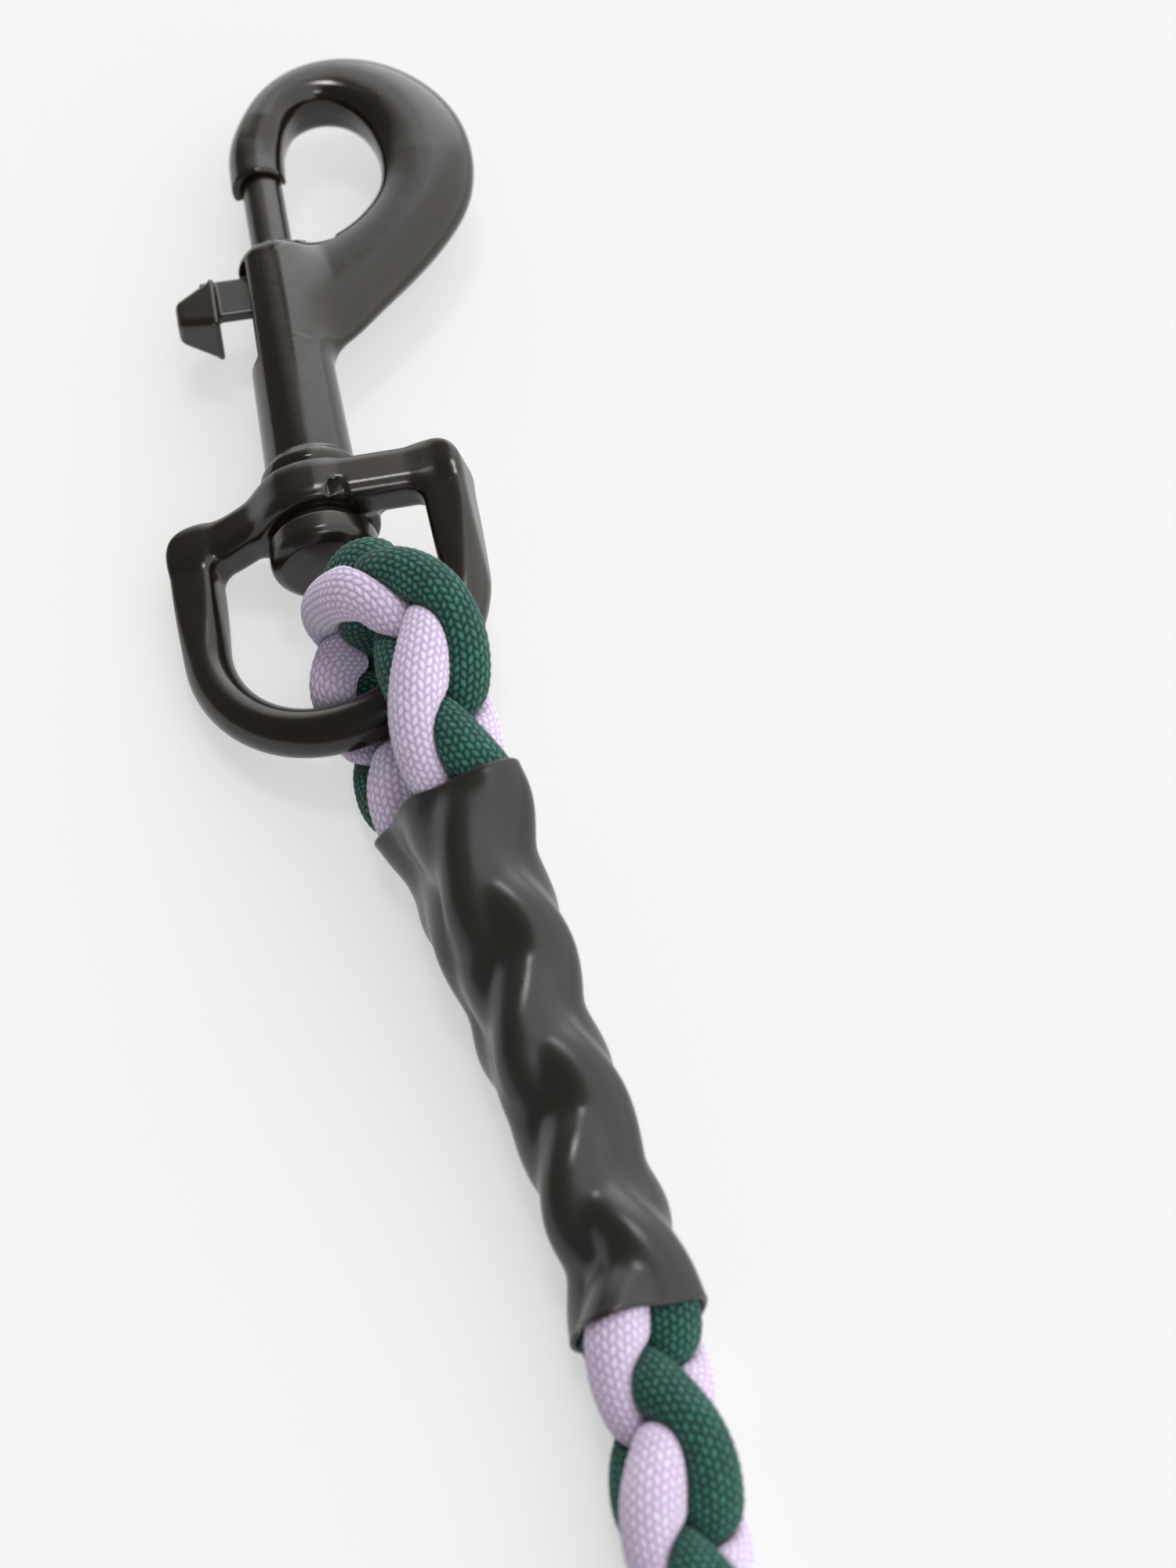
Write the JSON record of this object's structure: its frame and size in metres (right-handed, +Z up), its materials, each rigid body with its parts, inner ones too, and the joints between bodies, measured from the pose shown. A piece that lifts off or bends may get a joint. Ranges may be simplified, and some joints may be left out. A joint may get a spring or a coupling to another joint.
{
  "type": "lead rope",
  "caption": "Four-cord round braided lead rope with a swivel bolt snap, its eye bound by a shrink sleeve, coiled flat with a sleeved end.",
  "frame": {"origin": "middle of the hook's opening, on the hook's middle plane", "axes": "+Y along the swivel axis from the rope towards the hook's crown, +X from the bolt across the hook's opening, +Z up from the table the coiled rope lies on"},
  "size_m": [0.2022, 0.4242, 0.0271],
  "materials": {
    "snap_coating": "gloss black coated zinc casting",
    "bolt_coating": "gloss black coated steel",
    "spring_steel": "bright spring wire",
    "cord_lavender": "woven polyester sheath, soft sheen",
    "cord_green": "woven polyester sheath, soft sheen",
    "core_yarn": "plain white filler yarn",
    "shrink_sleeve": "satin black polyolefin"
  },
  "bodies": {
    "standing_rope": {"cord_lavender_1_sheath": "cord_lavender", "cord_lavender_2_sheath": "cord_lavender", "cord_green_1_sheath": "cord_green", "cord_green_2_sheath": "cord_green", "cord_lavender_1_core": "core_yarn", "cord_lavender_2_core": "core_yarn", "cord_green_1_core": "core_yarn", "cord_green_2_core": "core_yarn", "end_sleeve": "shrink_sleeve"},
    "spliced_eye": {"cord_lavender_1_eye_sheath": "cord_lavender", "cord_lavender_2_eye_sheath": "cord_lavender", "cord_green_1_eye_sheath": "cord_green", "cord_green_2_eye_sheath": "cord_green", "cord_lavender_1_eye_core": "core_yarn", "cord_lavender_2_eye_core": "core_yarn", "cord_green_1_eye_core": "core_yarn", "cord_green_2_eye_core": "core_yarn", "heat_shrink_sleeve": "shrink_sleeve"},
    "eye": {"swivel_eye": "snap_coating"},
    "snap": {"hook_body": "snap_coating", "swivel_rivet": "snap_coating", "bolt_spring": "spring_steel"},
    "latch": {"bolt": "bolt_coating", "thumb_button": "bolt_coating"}
  },
  "joints": [
    {"name": "rope_flex", "type": "hinge", "parent": "standing_rope", "child": "spliced_eye", "pos_m": [0.0079, -0.186, -0.003], "axis": [0, 0, 1], "range_deg": [-35, 35]},
    {"name": "eye_swing", "type": "hinge", "parent": "spliced_eye", "child": "eye", "pos_m": [-0.0045, -0.0951, 0.00244], "axis": [0.8577, 0.432, 0.2787], "range_deg": [-8, 30]},
    {"name": "snap_swivel", "type": "hinge", "parent": "eye", "child": "snap", "pos_m": [-0.012, -0.062, 0], "axis": [0, -1, 0], "continuous": true},
    {"name": "bolt_slide", "type": "slide", "parent": "snap", "child": "latch", "axis": [0, -1, 0], "range_m": [0, 0.0105], "stiffness_N_per_m": 600, "springref_m": -0.006, "deforming": ["bolt_spring"]}
  ]
}
